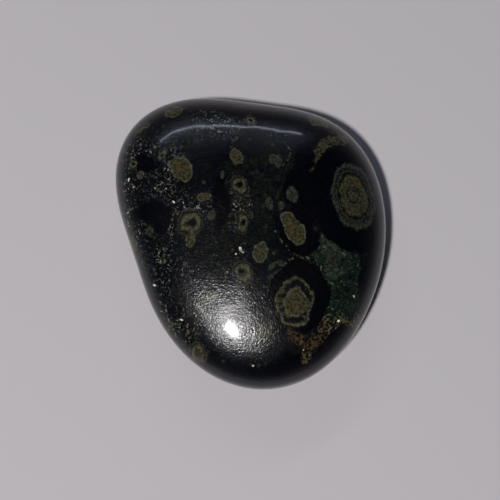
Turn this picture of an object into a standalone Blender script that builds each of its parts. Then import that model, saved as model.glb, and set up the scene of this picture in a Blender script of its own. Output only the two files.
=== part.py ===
"""A polished pebble of kambaba jasper, lying on a small flat spot.

The origin is the middle of the flat spot. +Z is up, +Y points to the broad end with the two blunt
corners, and -Y to the narrow end. Lengths are in millimetres until the mesh is made, in metres.
"""

import math

import bmesh
import bpy
from mathutils import Vector

MM = 0.001

# Outline in plan, at the pebble's widest: a circle with a few waves round it.
MEAN_RADIUS = 26.6
OUTLINE_WAVES = (
    # (waves round the outline, height in mm, direction of a crest in degrees from +X)
    (2, 2.3, 115),  # longer than wide, leaning to the left
    (3, 1.9, 26),  # three blunt corners: upper right, upper left and bottom
    (4, 0.6, 46),  # squares the upper corners a little
    (5, 0.3, 62),  # flattens the top edge
)

# Side view: the widest line runs round at about half the height and is not quite level.
THICKNESS = 17.0
RIM_HEIGHT = 7.8
RIM_WAVES = (
    # (waves round the rim, height in mm, direction of a crest in degrees from +X)
    (1, 0.5, 250),
    (2, 0.3, 20),
)

# The upper dome is fuller than an ellipse, and its crown lies off centre.
DOME_FULLNESS = 2.6
CROWN = Vector((0.5, 3.0))

# The underside is a shallower bowl round the flat spot.
BELLY_FULLNESS = 2.15
FLAT_SHARE = 0.28  # of the outline's radius

# Tumbling leaves broad, faint swells on the surface.
SWELLS = (
    # (length in mm from crest to crest, height in mm, direction in degrees, phase in degrees)
    (23.0, 0.11, 15, 40),
    (17.0, 0.07, 100, 200),
    (13.0, 0.04, 155, 90),
)

COLUMNS = 96  # steps round the pebble
DOME_ROWS = 18  # rings from the rim to the crown
BELLY_ROWS = 12  # rings from the flat spot to the rim

JASPER_COLOUR = (0.013, 0.018, 0.015, 1.0)
POLISH_ROUGHNESS = 0.22


def waves_at(waves, angle):
    """Sum of the cosine waves at an angle round the pebble."""
    return sum(height * math.cos(count * (angle - math.radians(crest))) for count, height, crest in waves)


def outline_point(angle):
    """Plan position of the rim at an angle round the pebble."""
    radius = MEAN_RADIUS + waves_at(OUTLINE_WAVES, angle)
    return Vector((radius * math.cos(angle), radius * math.sin(angle)))


def swell_at(place):
    """Height of the tumbling swells at a plan position."""
    total = 0.0
    for length, height, direction, phase in SWELLS:
        heading = Vector((math.cos(math.radians(direction)), math.sin(math.radians(direction))))
        total += height * math.cos(2 * math.pi * place.dot(heading) / length + math.radians(phase))
    return total


def dome_point(angle, climb):
    """Point of the upper dome. climb runs from 0 on the rim to 1 at the crown.

    Each meridian is a quarter of a superellipse from the rim to the crown, and the plan outline
    shrinks towards the crown as it climbs.
    """
    turn = climb * math.pi / 2
    share = math.cos(turn) ** (2 / DOME_FULLNESS) if climb < 1 else 0.0
    rise = math.sin(turn) ** (2 / DOME_FULLNESS)
    place = CROWN * (1 - share) + outline_point(angle) * share
    rim = RIM_HEIGHT + waves_at(RIM_WAVES, angle)
    height = rim + (THICKNESS - rim) * rise + swell_at(place) * rise**2
    return Vector((place.x, place.y, height))


def belly_point(angle, climb):
    """Point of the underside. climb runs from 0 at the flat spot's edge to 1 on the rim."""
    turn = climb * math.pi / 2
    share = math.sin(turn) ** (2 / BELLY_FULLNESS)
    fall = math.cos(turn) ** (2 / BELLY_FULLNESS) if climb < 1 else 0.0
    place = outline_point(angle) * (FLAT_SHARE + (1 - FLAT_SHARE) * share)
    rim = RIM_HEIGHT + waves_at(RIM_WAVES, angle)
    height = rim * (1 - fall) + swell_at(place) * share**2 * fall
    return Vector((place.x, place.y, height))


def ring(mesh, surface, climb):
    """Vertices once round the pebble at one climb of a surface."""
    angles = [2 * math.pi * column / COLUMNS for column in range(COLUMNS)]
    return [mesh.verts.new(surface(angle, climb) * MM) for angle in angles]


def band(mesh, lower, upper):
    """Faces between two neighbouring rings."""
    for column in range(COLUMNS):
        following = (column + 1) % COLUMNS
        mesh.faces.new((lower[column], lower[following], upper[following], upper[column]))


def pebble_mesh():
    """The closed surface: flat spot, belly rings, rim, dome rings and crown."""
    mesh = bmesh.new()
    belly = [ring(mesh, belly_point, row / BELLY_ROWS) for row in range(BELLY_ROWS + 1)]
    dome = [ring(mesh, dome_point, row / DOME_ROWS) for row in range(1, DOME_ROWS)]
    crown = mesh.verts.new(dome_point(0.0, 1.0) * MM)
    rings = belly + dome
    for lower, upper in zip(rings, rings[1:]):
        band(mesh, lower, upper)
    mesh.faces.new(list(reversed(rings[0])))
    for column in range(COLUMNS):
        mesh.faces.new((rings[-1][column], rings[-1][(column + 1) % COLUMNS], crown))
    bmesh.ops.recalc_face_normals(mesh, faces=mesh.faces)
    data = bpy.data.meshes.new("pebble")
    mesh.to_mesh(data)
    mesh.free()
    data.shade_smooth()
    data.set_sharp_from_angle(angle=math.radians(40))
    return data


def jasper():
    """Polished kambaba jasper: nearly black green stone with a soft gloss."""
    material = bpy.data.materials.new("polished_jasper")
    material.use_nodes = True
    shader = material.node_tree.nodes["Principled BSDF"]
    shader.inputs["Base Color"].default_value = JASPER_COLOUR
    shader.inputs["Roughness"].default_value = POLISH_ROUGHNESS
    shader.inputs["Metallic"].default_value = 0.0
    return material


def main():
    for old in list(bpy.data.objects):
        bpy.data.objects.remove(old)
    pebble = bpy.data.objects.new("pebble", pebble_mesh())
    pebble.data.materials.append(jasper())
    bpy.context.scene.collection.objects.link(pebble)


main()
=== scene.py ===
"""The looks of a polished kambaba jasper pebble: its fine surface, its stone, the floor, light and camera.

Lengths are in millimetres until a mesh, lamp or camera is made, in metres. A marking's middle is the
pixel where the photograph shows it, in a frame of 500 by 500, cast from the camera onto the pebble, and
its half widths are real sizes. A marking is a ball or egg in the stone that the surface cuts through.
"""

import math
from collections import namedtuple

import bpy
import numpy as np
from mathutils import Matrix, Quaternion, Vector


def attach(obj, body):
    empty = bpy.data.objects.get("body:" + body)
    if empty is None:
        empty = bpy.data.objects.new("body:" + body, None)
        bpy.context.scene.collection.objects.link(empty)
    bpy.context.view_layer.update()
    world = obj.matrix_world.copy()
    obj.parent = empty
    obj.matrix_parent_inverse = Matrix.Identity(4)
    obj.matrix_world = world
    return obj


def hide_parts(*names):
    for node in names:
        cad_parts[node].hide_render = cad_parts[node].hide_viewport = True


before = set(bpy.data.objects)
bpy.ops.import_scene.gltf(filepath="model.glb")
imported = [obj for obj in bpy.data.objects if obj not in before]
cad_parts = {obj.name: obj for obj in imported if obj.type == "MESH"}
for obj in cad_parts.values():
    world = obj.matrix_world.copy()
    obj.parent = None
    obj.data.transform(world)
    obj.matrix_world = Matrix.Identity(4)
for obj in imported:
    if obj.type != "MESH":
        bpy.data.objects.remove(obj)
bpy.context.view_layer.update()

MM = 0.001

# Shape, with the solid's own sizes
MEAN_RADIUS = 26.6
OUTLINE_WAVES = ((2, 2.3, 115), (3, 1.9, 26), (4, 0.6, 46), (5, 0.3, 62))  # count, height, crest in degrees
THICKNESS = 17.0
RIM_HEIGHT = 7.8
RIM_WAVES = ((1, 0.5, 250), (2, 0.3, 20))
DOME_FULLNESS = 2.6
CROWN = (0.5, 3.0)
BELLY_FULLNESS = 2.15
FLAT_SHARE = 0.28
SWELLS = ((23.0, 0.11, 15, 40), (17.0, 0.07, 100, 200), (13.0, 0.04, 155, 90))  # length, height, way, phase

# Hand polishing leaves ripples too low for the solid
RIPPLES = (
    # (length from crest to crest, height, heading as x, y, z, phase in degrees)
    (4.3, 0.0050, (0.9, 0.3, 0.3), 20),
    (3.1, 0.0035, (-0.4, 0.8, 0.4), 110),
    (2.2, 0.0020, (0.6, -0.6, 0.5), 250),
    (1.3, 0.0008, (0.95, 0.2, -0.2), 75),
)
COLUMNS = 512
DOME_ROWS = 116
BELLY_ROWS = 60

# The photograph's view
PHOTO_SIDE = 500
VIEW_TILT = 12.0  # degrees between the view and straight down
VIEW_DISTANCE = 220.0
VIEW_WIDTH = 94.4  # what the frame spans at the pebble
VIEW_AIM = Vector((-0.5, -3.4, RIM_HEIGHT))

Marking = namedtuple("Marking", "photo across along lean", defaults=(0,))

# Orbs, as the pixel of the middle, half widths across and along, and lean in degrees
GREAT_ORB = (Marking((353.7, 195.8), 4.2, 6.4, 8),)
LOWER_ORB = (Marking((295.4, 302.0), 3.3, 4.5, -8),)
HOLLOW_ORBS = (
    Marking((242, 271.6), 1.9, 2.4),
    Marking((242, 222), 1.5, 2.1, 5),
    Marking((239.4, 185.3), 1.5, 2.1, 12),
    Marking((190.5, 223), 2.4, 2.7, -10),
    Marking((132.6, 164.2), 0.9, 1.2, 8),
    Marking((162, 154.7), 1.1, 1.4),
    Marking((250.5, 120), 1.1, 1.1),
    Marking((196.8, 353.7), 2.2, 1.9, 40),
    Marking((145.3, 126.3), 1.1, 1.0, 20),
)
SOLID_ORBS = (
    Marking((293.5, 229), 1.75, 3.3, 32),
    Marking((288, 219), 1.5, 1.4, 20),
    Marking((260, 251.6), 1.65, 2.0),
    Marking((236.8, 156.8), 1.15, 1.7, 5),
    Marking((181, 168), 2.1, 2.2),
    Marking((187, 175), 1.3, 1.5),
    Marking((176, 164), 1.2, 1.4),
    Marking((203, 197), 1.4, 0.8, 5),
    Marking((190.5, 240), 1.1, 1.4, -15),
    Marking((173, 112), 1.9, 1.2, 10),
    Marking((139, 131), 0.8, 0.6, 30),
    Marking((141, 173.3), 0.85, 0.75, 30),
    Marking((133.7, 244), 0.75, 1.3, 12),
    Marking((263, 331.6), 1.5, 1.7),
    Marking((212, 297), 1.5, 0.9, 15),
    Marking((203, 305), 0.9, 1.1),
    Marking((318, 122), 2.2, 1.1, -25),
)
PLAIN_ORBS = (
    Marking((292.6, 194.7), 1.0, 1.6, 4),
    Marking((268.4, 203), 0.7, 1.3),
    Marking((281, 205), 0.6, 0.9),
    Marking((210.5, 214.7), 0.7, 1.1),
    Marking((272.5, 160), 0.7, 1.2),
    Marking((279, 163), 0.8, 1.3),
    Marking((240, 199), 0.5, 0.6),
    Marking((221, 175), 0.5, 0.8),
    Marking((150, 231), 0.6, 0.8),
)

# Black agate round the orbs and between them
NIGHT_RINGS = (
    Marking((351, 198), 7.6, 10.7, 8),
    Marking((299, 297), 5.6, 6.9, -8),
)
NIGHTS = (
    Marking((296, 231), 3.1, 5.0, 32),
    Marking((301, 178), 2.9, 9.5),
    Marking((375, 250), 2.1, 14.0, -9),
    Marking((340, 345), 5.5, 3.3, 38),
    Marking((292, 372), 9.0, 3.0, 20),
    Marking((147, 158), 1.9, 1.7),
    Marking((262, 114), 9.0, 1.9, -6),
    Marking((220, 200), 2.0, 6.0),
    Marking((212, 155), 3.6, 1.9),
    Marking((155, 215), 2.6, 3.0),
)
MOSS = (
    Marking((255, 190), 5.6, 11.0, 4),
    Marking((268, 152), 4.2, 3.2),
    Marking((276, 272), 2.6, 3.0),
    Marking((222, 240), 4.0, 5.5),
)
FAN_ORB = (Marking((279, 273), 2.3, 2.5),)

# Sea-green chalcedony and the iron stains on its lower edge
GREENS = (
    Marking((330, 250), 5.4, 3.0, -14),
    Marking((343, 276), 4.3, 5.8, 4),
    Marking((338, 303), 4.7, 3.1, 20),
    Marking((303, 364), 1.7, 0.9),
)
PALE_GREENS = (
    Marking((328, 246), 4.6, 2.4, -12),
    Marking((335, 266), 1.7, 2.0),
)

# Olive bands and hair-thin pale lines that follow the black rings
ARCS = (
    Marking((316, 155), 1.1, 2.4, -28),
    Marking((328, 143), 1.3, 2.5, -62),
    Marking((342, 139), 1.0, 1.8, -80),
    Marking((311, 168), 0.5, 1.0, -20),
    Marking((361, 249), 0.4, 1.7, -75),
)
LINE_ZONES = (
    Marking((296, 258), 4.2, 1.7, -12),
    Marking((318, 268), 1.8, 1.5, -30),
    Marking((281, 243), 1.3, 2.8, 30),
    Marking((327, 234), 2.4, 1.4, -30),
    Marking((284, 155), 1.2, 3.0, -10),
)
LINE_RINGS = (
    Marking((299, 297), 5.6, 6.9, -8),
    Marking((351, 198), 7.6, 10.7, 8),
    Marking((296, 231), 3.3, 5.1, 32),
    Marking((268, 153), 4.0, 3.6),
)

# Painted glints: small white specks where pits in the polish catch the lamp, painted as white spots
PAINTED_GLINTS = (
    Marking((236.5, 254.5), 0.30, 0.22, 10),
    Marking((241, 250), 0.30, 0.55, 30),
    Marking((244.5, 252.5), 0.45, 0.22, -15),
    Marking((353.5, 297), 0.28, 0.20),
    Marking((174.5, 202), 0.16, 0.34, 20),
    Marking((128.5, 180), 0.16, 0.40, -20),
    Marking((154, 285), 0.45, 0.18, -25),
    Marking((182, 319), 0.40, 0.16, -40),
    Marking((339.5, 321), 0.35, 0.30, 20),
    Marking((253.5, 365), 0.20, 0.20),
    Marking((304, 350), 0.40, 0.16, -20),
)
GOLDS = (
    Marking((333, 324), 3.3, 1.7, 25),
    Marking((354, 321), 1.6, 2.1, -30),
    Marking((306, 352), 1.5, 1.7, 25),
    Marking((163, 253), 0.8, 1.6),
    Marking((171, 320), 0.9, 1.2),
    Marking((183, 334), 1.0, 1.0),
)
RUSTS = (
    Marking((310, 339), 3.8, 1.6, 14),
    Marking((254, 366), 0.8, 0.8),
)
WARM_SPOTS = (
    Marking((191, 236), 1.7, 1.9, -10),
    Marking((198, 356), 2.6, 1.8, 40),
    Marking((355, 183), 1.6, 1.1),
    Marking((348, 213), 1.6, 1.1),
    Marking((296, 310), 1.6, 1.5),
    Marking((297, 236), 1.4, 1.6),
    Marking((178, 165), 1.3, 1.6),
)

# Zones of pale feathery flecks
FLECK_ZONES = (
    Marking((141, 150), 4.4, 2.2, -8),
    Marking((127, 184), 1.5, 3.6),
    Marking((166, 178), 2.2, 3.2),
    Marking((188, 203), 4.4, 1.7, 8),
    Marking((172, 222), 1.2, 3.6),
    Marking((163, 262), 1.8, 4.4, 6),
    Marking((133, 222), 1.4, 7.5, 8),
    Marking((219, 128), 3.6, 2.2, -10),
    Marking((241, 252), 1.3, 0.8, 20),
    Marking((240, 205), 1.2, 3.0),
    Marking((190, 318), 1.8, 3.8, -18),
    Marking((172, 322), 1.4, 6.0, 28),
    Marking((330, 250), 1.6, 1.2),
    Marking((187, 267), 0.9, 1.1),
    Marking((197, 285), 1.1, 0.8),
    Marking((225, 273), 0.6, 1.4),
    Marking((237, 293), 0.9, 0.6),
)
VEIN = (Marking((279, 320), 0.10, 4.3, 37),)

# The unseen sides and underside hold orbs of the same kinds, on a sunflower's spiral
HIDDEN_COUNT = 26
HIDDEN_TURN = 137.5  # degrees from one to the next
HIDDEN_SIZES = (1.3, 3.4)
HIDDEN_SEED = 11
HIDDEN_KINDS = 3

# How far an outline wanders: rows of (length of the waves, amount)
EVEN = ((3.4, 0.22),)
LUMPY = ((3.0, 0.25), (1.3, 0.16))
CLOUDY = ((6.5, 1.1), (2.2, 0.5))
WANDER_WAVES = 9
WANDER_SEED = 4
RAGGEDNESS = 0.22  # share of a marking's half width
DEPTH = 1.5  # of a marking, as a share of its longer half width

# Each kind of marking: its list, how its outline wanders, and which of the hidden orbs are of its kind
KINDS = {
    "great_orb": (GREAT_ORB, LUMPY, None),
    "lower_orb": (LOWER_ORB, LUMPY, None),
    "hollow_orbs": (HOLLOW_ORBS, LUMPY, 0),
    "solid_orbs": (SOLID_ORBS, LUMPY, 1),
    "plain_orbs": (PLAIN_ORBS, EVEN, 2),
    "fan_orb": (FAN_ORB, LUMPY, None),
    "night_rings": (NIGHT_RINGS, EVEN, None),
    "nights": (NIGHTS, CLOUDY, None),
    "moss": (MOSS, CLOUDY, None),
    "greens": (GREENS, LUMPY, None),
    "pale_greens": (PALE_GREENS, CLOUDY, None),
    "arcs": (ARCS, LUMPY, None),
    "line_zones": (LINE_ZONES, CLOUDY, None),
    "line_rings": (LINE_RINGS, EVEN, None),
    "painted_glints": (PAINTED_GLINTS, EVEN, None),
    "warm_spots": (WARM_SPOTS, LUMPY, None),
    "golds": (GOLDS, CLOUDY, None),
    "rusts": (RUSTS, CLOUDY, None),
    "fleck_zones": (FLECK_ZONES, CLOUDY, None),
    "vein": (VEIN, EVEN, None),
}

# Colours as the eye sees them under white light
NIGHT_BLACK = "#030409"
MATRIX_NAVY = "#0a0c11"
MOSS_GREEN = "#151813"
ORB_OLIVE = "#393827"
ORB_GREY = "#30332a"
ORB_PALE = "#4f503b"
ORB_BROWN = "#443821"
SEA_GREEN = "#15211a"
PALE_GREEN = "#2d342b"
GOLD = "#4c4530"
RUST = "#403322"
FLECK_DIM = "#4c4e44"
FLECK_BRIGHT = "#94968a"
# White of the painted glints, a lit colour rather than the stone's own
GLINT_WHITE = "#dadacb"
PAPER = "#d8d5d7"

FLOOR_HALF = 1500.0  # half of the paper's side

# The lights, as place, width and height in mm and power in watts
KEY_PLACE = (-175, -255, 765)
KEY_FACE = (54, 54)
KEY_POWER = 4.3
KEY_COLOUR = "#fffcfd"
WINDOW_PLACE = (-140, 700, 640)
WINDOW_FACE = (740, 22)
WINDOW_POWER = 0.7
WINDOW_COLOUR = "#dde7ff"
WINDOW_ROLL = 12  # degrees

# The room's light from the horizon, at 0, to straight up, at 1
ROOM_TONES = ((0.0, "#8c8c94"), (0.25, "#505058"), (0.6, "#14161c"), (1.0, "#08090d"))

STONE_IOR = 1.54  # quartz
PEEL_DEPTH = 0.024  # of the shallow waves that buffing leaves
GRIT_DEPTH = 0.045  # of the finest polishing marks


def waves(rows, angle):
    """Sum over the rows of height times the cosine of count times the angle from the crest."""
    return sum(height * np.cos(count * (angle - math.radians(crest))) for count, height, crest in rows)


def outline(angle):
    """The rim in plan: x and y of a point at mean radius plus the outline waves from the middle."""
    radius = MEAN_RADIUS + waves(OUTLINE_WAVES, angle)
    return radius * np.cos(angle), radius * np.sin(angle)


def swells(x, y):
    """Sum of height times the cosine of the distance along a heading, in turns of the length."""
    total = np.zeros_like(x)
    for length, height, way, phase in SWELLS:
        along = x * math.cos(math.radians(way)) + y * math.sin(math.radians(way))
        total += height * np.cos(2 * math.pi * along / length + math.radians(phase))
    return total


def dome(angle, climb):
    """The upper side. Its outline shrinks to the crown by cos(turn)^(2/fullness) while it rises from the
    rim to the thickness by sin(turn)^(2/fullness), where turn is a quarter circle times the climb."""
    turn = climb * math.pi / 2
    share = np.clip(np.cos(turn), 0, 1) ** (2 / DOME_FULLNESS)
    rise = np.sin(turn) ** (2 / DOME_FULLNESS)
    x, y = outline(angle)
    x = CROWN[0] * (1 - share) + x * share
    y = CROWN[1] * (1 - share) + y * share
    rim = RIM_HEIGHT + waves(RIM_WAVES, angle)
    points = np.stack([x, y, rim + (THICKNESS - rim) * rise + swells(x, y) * rise**2], axis=-1)
    return points * (1 + ripples(points) * rise / MEAN_RADIUS)[..., None]


def belly(angle, climb):
    """The underside. Its outline grows from the flat spot by sin(turn)^(2/fullness) while it rises to the
    rim by 1 - cos(turn)^(2/fullness), where turn is a quarter circle times the climb."""
    turn = climb * math.pi / 2
    share = np.sin(turn) ** (2 / BELLY_FULLNESS)
    fall = np.clip(np.cos(turn), 0, 1) ** (2 / BELLY_FULLNESS)
    x, y = outline(angle)
    width = FLAT_SHARE + (1 - FLAT_SHARE) * share
    x, y = x * width, y * width
    rim = RIM_HEIGHT + waves(RIM_WAVES, angle)
    return np.stack([x, y, rim * (1 - fall) + swells(x, y) * share**2 * fall], axis=-1)


def ripples(points):
    """Polishing ripples: sum of height times the cosine of the distance along a heading in space."""
    total = np.zeros(points.shape[:-1])
    for length, height, heading, phase in RIPPLES:
        total += height * np.cos(2 * math.pi * (points @ np.array(heading)) / length + math.radians(phase))
    return total


def linear(hex_colour):
    """The linear RGBA of an sRGB hex colour: below 0.04045 v / 12.92, above ((v + 0.055) / 1.055)^2.4."""
    values = [int(hex_colour[start:start + 2], 16) / 255 for start in (1, 3, 5)]
    return tuple(v / 12.92 if v <= 0.04045 else ((v + 0.055) / 1.055) ** 2.4 for v in values) + (1.0,)


def pebble_surface():
    """Rings of points from the flat spot over the rim to the crown, with both ends closed by fans."""
    angles = np.arange(COLUMNS) * 2 * math.pi / COLUMNS
    under, under_climb = np.meshgrid(angles, np.arange(BELLY_ROWS + 1) / BELLY_ROWS)
    over, over_climb = np.meshgrid(angles, np.arange(1, DOME_ROWS) / DOME_ROWS)
    rings = np.concatenate([belly(under, under_climb), dome(over, over_climb)])
    crown = dome(np.zeros(1), np.ones(1))
    points = np.concatenate([rings.reshape(-1, 3), crown, np.zeros((1, 3))]) * MM

    index = np.arange(rings.shape[0] * COLUMNS).reshape(-1, COLUMNS)
    following = np.roll(index, -1, axis=1)
    quads = np.stack([index[:-1], following[:-1], following[1:], index[1:]], axis=-1).reshape(-1, 4)
    crown_at, foot_at = len(points) - 2, len(points) - 1
    crown_fan = np.stack([index[-1], following[-1], np.full(COLUMNS, crown_at)], axis=-1)
    foot_fan = np.stack([following[0], index[0], np.full(COLUMNS, foot_at)], axis=-1)
    mesh = bpy.data.meshes.new("polished_pebble")
    mesh.from_pydata(points.tolist(), [], quads.tolist() + crown_fan.tolist() + foot_fan.tolist())
    mesh.shade_smooth()
    return mesh


def show(name, data):
    """Puts new data into the scene as an object."""
    made = bpy.data.objects.new(name, data)
    bpy.context.scene.collection.objects.link(made)
    return made


def add(tree, kind, links=None, stops=(), **settings):
    """Adds a node. Settings are its own properties, a link gives an input a socket or a value, and stops
    are the places and colours of a ramp."""
    made = tree.nodes.new("ShaderNode" + kind)
    for name, value in settings.items():
        setattr(made, name, value)
    for key, value in (links or {}).items():
        if isinstance(value, bpy.types.NodeSocket):
            tree.links.new(value, made.inputs[key])
        else:
            made.inputs[key].default_value = value
    for place, _ in stops[len(made.color_ramp.elements):] if stops else ():
        made.color_ramp.elements.new(place)
    for element, (place, colour) in zip(made.color_ramp.elements if stops else (), stops):
        element.position = place
        element.color = linear(colour)
    return made


def on_pebble(pebble, camera, pixel):
    """Where the sight line through a pixel of the photograph meets the pebble, in mm."""
    half = math.tan(camera.data.angle / 2)
    across = (2 * pixel[0] / PHOTO_SIDE - 1) * half
    up = (1 - 2 * pixel[1] / PHOTO_SIDE) * half
    sight = camera.matrix_world.to_3x3() @ Vector((across, up, -1))
    met, place, _, _ = pebble.ray_cast(camera.location, sight.normalized())
    if not met:
        raise ValueError(f"the pixel {pixel} is off the pebble")
    return place / MM


def hidden_orbs():
    """Places and half widths of the orbs that the photograph doesn't show, spaced round the underside."""
    chance = np.random.default_rng(HIDDEN_SEED)
    steps = np.arange(HIDDEN_COUNT)
    angles = np.radians(steps * HIDDEN_TURN) + chance.uniform(-0.12, 0.12, HIDDEN_COUNT)
    climbs = np.sqrt((steps + 0.5) / HIDDEN_COUNT) * 0.98
    return list(zip(belly(angles, climbs), chance.uniform(*HIDDEN_SIZES, HIDDEN_COUNT)))


def wandering(points, length, amount, seed):
    """The points pushed about: the sum over seeded waves of a push times the cosine of the distance along
    the wave's heading, in turns of about the length. The pushes add up to about the amount."""
    chance = np.random.default_rng(seed)
    moved = points.copy()
    for _ in range(WANDER_WAVES):
        heading = chance.normal(size=3)
        heading /= np.linalg.norm(heading)
        push = chance.normal(size=3) * amount / math.sqrt(WANDER_WAVES)
        turns = points @ heading / (length * chance.uniform(0.7, 1.4)) + chance.uniform()
        moved += np.cos(2 * math.pi * turns)[:, None] * push
    return moved


def nearest(points, markings):
    """Share of the way from the middle of the nearest marking, at 0, to its edge, at 1. It is the least,
    over the markings, of the length of the offset turned by the lean and divided by the half widths."""
    best = np.full(len(points), 9.0)
    for place, widths, lean in markings:
        x, y, z = (points - place).T
        turned = np.stack([x * math.cos(lean) + y * math.sin(lean), y * math.cos(lean) - x * math.sin(lean), z])
        best = np.minimum(best, np.linalg.norm(turned.T / widths, axis=-1))
    return best


def mark(pebble, camera):
    """Writes how near each point of the surface is to each kind of marking, as one attribute a kind."""
    mesh = pebble.data
    points = np.empty(len(mesh.vertices) * 3)
    mesh.vertices.foreach_get("co", points)
    points = points.reshape(-1, 3) / MM
    hidden = hidden_orbs()
    for name, (markings, edge, hidden_from) in KINDS.items():
        rows = []
        for marking in markings:
            deep = DEPTH * max(marking.across, marking.along)
            place = np.array(on_pebble(pebble, camera, marking.photo))
            rows.append((place, np.array((marking.across, marking.along, deep)), math.radians(marking.lean)))
        if hidden_from is not None:
            rows += [(place, size, 0.0) for place, size in hidden[hidden_from::HIDDEN_KINDS]]
        moved = points
        for length, amount in edge:
            moved = wandering(moved, length, amount, WANDER_SEED)
        mesh.attributes.new(name, "FLOAT", "POINT").data.foreach_set("value", nearest(moved, rows))


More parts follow.
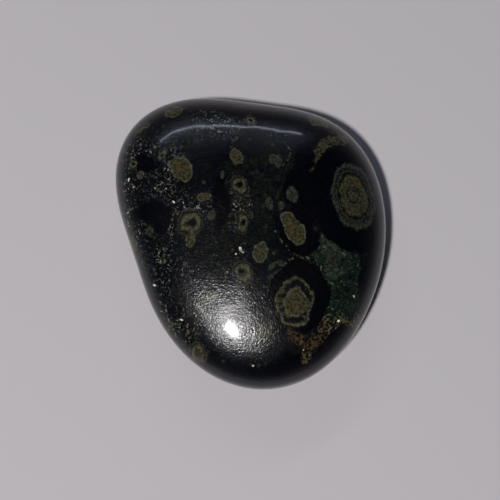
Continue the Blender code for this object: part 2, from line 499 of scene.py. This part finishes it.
def jasper():
    """Kambaba jasper, tumbled and buffed: quartz stone with a clear gloss over a faintly grainy body.

    The eye sees near-black green stone with olive ringed orbs in black halos, one sea-green patch with
    iron stains, and pale feathery flecks. The lamp's image is sharp in a wide grainy glow.
    """
    material = bpy.data.materials.new("polished_kambaba_jasper")
    material.use_nodes = True
    tree = material.node_tree
    shader = tree.nodes["Principled BSDF"]
    seen_from = add(tree, "TexCoord")
    where = add(tree, "VectorMath", {0: seen_from.outputs["Object"], "Scale": 1 / MM}, operation="SCALE")
    where = where.outputs[0]
    tooth = add(tree, "TexNoise", {"Vector": where, "Scale": 1 / 0.7, "Detail": 3.0, "Roughness": 0.7})
    kinds = {}
    for name in KINDS:
        field = add(tree, "Attribute", attribute_name=name)
        ragged = {0: tooth.outputs[0], 1: RAGGEDNESS, 2: field.outputs["Fac"]}
        pushed = add(tree, "Math", ragged, operation="MULTIPLY_ADD")
        centred = add(tree, "Math", {0: pushed.outputs[0], 1: RAGGEDNESS / 2}, operation="SUBTRACT")
        kinds[name] = centred.outputs[0]
    grain = add(tree, "TexNoise", {"Vector": where, "Scale": 1 / 0.5, "Detail": 3.0, "Roughness": 0.65}).outputs[0]
    blotch = add(tree, "TexNoise", {"Vector": where, "Scale": 1 / 1.5, "Detail": 3.0, "Roughness": 0.6}).outputs[0]
    drift = add(tree, "TexNoise", {"Vector": where, "Scale": 1 / 9.0, "Detail": 2.0}).outputs[0]
    hairs = add(tree, "TexNoise", {"Vector": where, "Scale": 1 / 1.0, "Detail": 2.0, "Distortion": 0.6}).outputs[0]
    from_mean = add(tree, "Math", {0: hairs, 1: 0.5}, operation="SUBTRACT")
    off_hair = add(tree, "Math", {0: from_mean.outputs[0]}, operation="ABSOLUTE").outputs[0]

    spots = add(tree, "TexVoronoi", {"Vector": where, "Scale": 1 / 1.25})
    spot_chance = add(tree, "SeparateColor", {0: spots.outputs["Color"]})
    line_place = add(tree, "Math", {0: kinds["line_rings"], 1: 1.03}, operation="SUBTRACT")
    off_line = add(tree, "Math", {0: line_place.outputs[0]}, operation="ABSOLUTE").outputs[0]
    bands = {
        "great_orb": (
            (0.0, ORB_PALE), (0.05, ORB_OLIVE), (0.20, ORB_GREY), (0.24, MATRIX_NAVY), (0.28, ORB_OLIVE),
            (0.44, ORB_GREY), (0.47, ORB_OLIVE), (0.60, ORB_OLIVE), (0.66, MATRIX_NAVY), (0.70, NIGHT_BLACK),
            (0.73, ORB_GREY), (0.82, MOSS_GREEN), (0.90, ORB_GREY), (1.0, ORB_GREY),
        ),
        "lower_orb": (
            (0.0, ORB_BROWN), (0.20, ORB_OLIVE), (0.50, ORB_OLIVE), (0.57, ORB_PALE), (0.63, MATRIX_NAVY),
            (0.84, MATRIX_NAVY), (0.89, ORB_OLIVE), (0.96, ORB_PALE), (1.0, ORB_GREY),
        ),
        "hollow_orbs": (
            (0.0, NIGHT_BLACK), (0.22, NIGHT_BLACK), (0.36, ORB_OLIVE), (0.55, ORB_PALE), (0.70, ORB_OLIVE),
            (0.82, MATRIX_NAVY), (0.92, ORB_GREY), (1.0, ORB_GREY),
        ),
        "solid_orbs": (
            (0.0, MATRIX_NAVY), (0.10, ORB_BROWN), (0.30, ORB_OLIVE), (0.80, ORB_OLIVE), (0.90, ORB_PALE),
            (1.0, ORB_GREY),
        ),
    }
    banded = {}
    for name, stops in bands.items():
        banded[name] = add(tree, "ValToRGB", {"Fac": kinds[name]}, stops=stops).outputs[0]

    # A limit is a value, where its share starts, where it is full, and the most that it gives
    spot = (spots.outputs["Distance"], 0.42, 0.22, 1), (spot_chance.outputs[0], 0.45, 0.8, 1)
    broken = (off_hair, 0.06, 0.015, 1), (grain, 0.44, 0.60, 1)
    crumbs = (grain, 0.50, 0.58, 1)
    open_stone = (kinds["night_rings"], 0.94, 1.02, 1), (kinds["nights"], 0.8, 1.15, 1)
    in_green = (kinds["greens"], 1.0, 0.9, 1)
    in_lower_orb = (kinds["lower_orb"], 1.05, 0.95, 1)
    flecks = kinds["fleck_zones"]

    # Layers from the ground of the stone up: a colour, and the limits whose product is its share
    layers = (
        (linear(MOSS_GREEN), (kinds["moss"], 1.25, 0.6, 1), (blotch, 0.35, 0.6, 1)),
        (linear(MOSS_GREEN), (drift, 0.5, 0.62, 1), (blotch, 0.4, 0.7, 0.6)),
        (linear(ORB_GREY), *spot, *open_stone, (blotch, 0.4, 0.6, 0.8)),
        (linear(ORB_GREY), (kinds["fan_orb"], 1.0, 0.8, 1), (hairs, 0.4, 0.55, 0.9)),
        (linear(FLECK_DIM), *broken, *open_stone, (flecks, 2.4, 0.7, 0.75)),
        (linear(FLECK_BRIGHT), *broken, (grain, 0.56, 0.66, 1), (flecks, 1.1, 0.5, 1)),
        (linear(SEA_GREEN), (kinds["greens"], 1.03, 0.93, 1), (blotch, 0.30, 0.46, 1)),
        (linear(PALE_GREEN), in_green, (kinds["pale_greens"], 1.2, 0.6, 0.85)),
        (linear(ORB_PALE), in_green, (off_hair, 0.08, 0.02, 1), crumbs, (blotch, 0.47, 0.6, 1)),
        (linear(ORB_OLIVE), (kinds["arcs"], 1.1, 0.8, 1), (grain, 0.30, 0.50, 1)),
        (linear(NIGHT_BLACK), (kinds["nights"], 1.1, 0.8, 1)),
        (linear(NIGHT_BLACK), (kinds["night_rings"], 1.0, 0.95, 1)),
        (linear(ORB_PALE), (off_line, 0.05, 0.01, 1), (kinds["line_zones"], 1.2, 0.6, 1), crumbs),
        (linear(GOLD), (kinds["golds"], 1.1, 0.7, 1), (grain, 0.44, 0.60, 1)),
        (linear(RUST), (kinds["rusts"], 1.1, 0.6, 1), (grain, 0.36, 0.60, 1)),
        *((banded[name], (kinds[name], 1.05, 0.95, 1)) for name in bands),
        (linear(ORB_GREY), (kinds["plain_orbs"], 1.05, 0.9, 1)),
        (linear(ORB_OLIVE), in_lower_orb, (kinds["lower_orb"], 0.56, 0.62, 1), (blotch, 0.5, 0.56, 1)),
        (linear(ORB_BROWN), (kinds["warm_spots"], 1.1, 0.3, 1), (blotch, 0.35, 0.6, 0.55)),
        (linear(FLECK_DIM), (kinds["vein"], 1.1, 0.8, 1), (blotch, 0.3, 0.5, 1)),
        # Painted glints: white specks painted where pits in the polish would catch the lamp
        (linear(GLINT_WHITE), (kinds["painted_glints"], 1.15, 0.75, 1)),
    )
    colour = linear(MATRIX_NAVY)
    for paint, *limits in layers:
        share = 1.0
        for value, start, end, most in limits:
            span = {"Value": value, "From Min": start, "From Max": end, "To Max": most}
            part = add(tree, "MapRange", span, interpolation_type="SMOOTHSTEP")
            share = add(tree, "Math", {0: share, 1: part.outputs[0]}, operation="MULTIPLY").outputs[0]
        colour = add(tree, "Mix", {0: share, 6: colour, 7: paint}, data_type="RGBA").outputs[2]
    span = {"Value": grain, "From Min": 0.35, "From Max": 0.65}
    mottle = add(tree, "MapRange", span, interpolation_type="SMOOTHSTEP").outputs[0]
    dark = add(tree, "Mix", {0: mottle, 6: (0.4, 0.4, 0.4, 1), 7: (1.6, 1.6, 1.6, 1)}, data_type="RGBA")
    toned = add(tree, "Mix", {0: 1.0, 6: colour, 7: dark.outputs[2]}, data_type="RGBA", blend_type="MULTIPLY")
    tree.links.new(toned.outputs[2], shader.inputs["Base Color"])

    buff = add(tree, "TexNoise", {"Vector": where, "Scale": 1 / 0.28, "Detail": 1.0}).outputs[0]
    peel = add(tree, "TexNoise", {"Vector": where, "Scale": 1 / 1.1, "Detail": 1.0}).outputs[0]
    body_gloss = add(tree, "MapRange", {"Value": buff, "To Min": 0.16, "To Max": 0.26})
    tree.links.new(body_gloss.outputs[0], shader.inputs["Roughness"])
    waviness = add(tree, "Bump", {"Height": peel, "Strength": 1.0, "Distance": PEEL_DEPTH * MM})
    grit_in = {"Height": buff, "Strength": 1.0, "Distance": GRIT_DEPTH * MM, "Normal": waviness.outputs[0]}
    grit = add(tree, "Bump", grit_in)
    tree.links.new(grit.outputs[0], shader.inputs["Normal"])
    shader.inputs["IOR"].default_value = STONE_IOR
    shader.inputs["Specular IOR Level"].default_value = 0.3
    shader.inputs["Coat Weight"].default_value = 0.4
    shader.inputs["Coat Roughness"].default_value = 0.09
    shader.inputs["Coat IOR"].default_value = STONE_IOR
    return material


def paper():
    """Matt uncoated paper under the pebble: pale, with a faint tooth of about half a millimetre."""
    material = bpy.data.materials.new("matt_paper")
    material.use_nodes = True
    tree = material.node_tree
    shader = tree.nodes["Principled BSDF"]
    seen_from = add(tree, "TexCoord")
    tooth = add(tree, "TexNoise", {"Vector": seen_from.outputs["Object"], "Scale": 1 / (0.5 * MM)})
    skin = add(tree, "Bump", {"Height": tooth.outputs[0], "Strength": 0.1, "Distance": 0.05 * MM})
    tree.links.new(skin.outputs[0], shader.inputs["Normal"])
    shader.inputs["Base Color"].default_value = linear(PAPER)
    shader.inputs["Roughness"].default_value = 0.9
    return material


def photo_camera():
    """Looks down over the narrow end, as the photograph does."""
    data = bpy.data.cameras.new("photo_camera")
    data.angle = 2 * math.atan(VIEW_WIDTH / 2 / VIEW_DISTANCE)
    data.clip_start = 0.01
    camera = show("photo_camera", data)
    tilt = math.radians(VIEW_TILT)
    camera.location = (VIEW_AIM + Vector((0, -math.sin(tilt), math.cos(tilt))) * VIEW_DISTANCE) * MM
    camera.rotation_euler = (tilt, 0, 0)
    bpy.context.scene.camera = camera
    bpy.context.view_layer.update()
    return camera


def lamp(name, place, aim, power, width, height, colour, roll=0):
    """A soft lamp with a rectangular face, turned to a point and rolled about that line, in degrees.
    Places and sizes are in mm."""
    data = bpy.data.lights.new(name, "AREA")
    data.shape = "RECTANGLE"
    data.size = width * MM
    data.size_y = height * MM
    data.energy = power
    data.color = linear(colour)[:3]
    made = show(name, data)
    made.location = Vector(place) * MM
    turn = (Vector(aim) - Vector(place)).to_track_quat("-Z", "Y") @ Quaternion((0, 0, 1), math.radians(roll))
    made.rotation_euler = turn.to_euler()


def studio():
    """A pale floor, one lamp beside the camera, a long low lamp behind, and a dim room."""
    side = FLOOR_HALF * MM
    corners = [(-side, -side, 0), (side, -side, 0), (side, side, 0), (-side, side, 0)]
    mesh = bpy.data.meshes.new("floor")
    mesh.from_pydata(corners, [], [(0, 1, 2, 3)])
    floor = show("floor", mesh)
    mesh.materials.append(paper())

    middle = (0, 0, RIM_HEIGHT)
    lamp("key_lamp", KEY_PLACE, middle, KEY_POWER, *KEY_FACE, KEY_COLOUR)
    lamp("window", WINDOW_PLACE, middle, WINDOW_POWER, *WINDOW_FACE, WINDOW_COLOUR, WINDOW_ROLL)
    world = bpy.data.worlds.new("room")
    world.use_nodes = True
    tree = world.node_tree
    sight = add(tree, "TexCoord")
    height = add(tree, "SeparateXYZ", {0: sight.outputs["Generated"]})
    room = add(tree, "ValToRGB", {"Fac": height.outputs["Z"]}, stops=ROOM_TONES)
    tree.links.new(room.outputs[0], tree.nodes["Background"].inputs["Color"])
    bpy.context.scene.world = world
    bpy.context.scene.view_settings.view_transform = "Standard"


def main():
    camera = photo_camera()
    studio()
    pebble = show("polished_pebble", pebble_surface())
    bpy.context.view_layer.update()
    mark(pebble, camera)
    pebble.data.materials.append(jasper())
    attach(pebble, "root")
    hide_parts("pebble")


main()
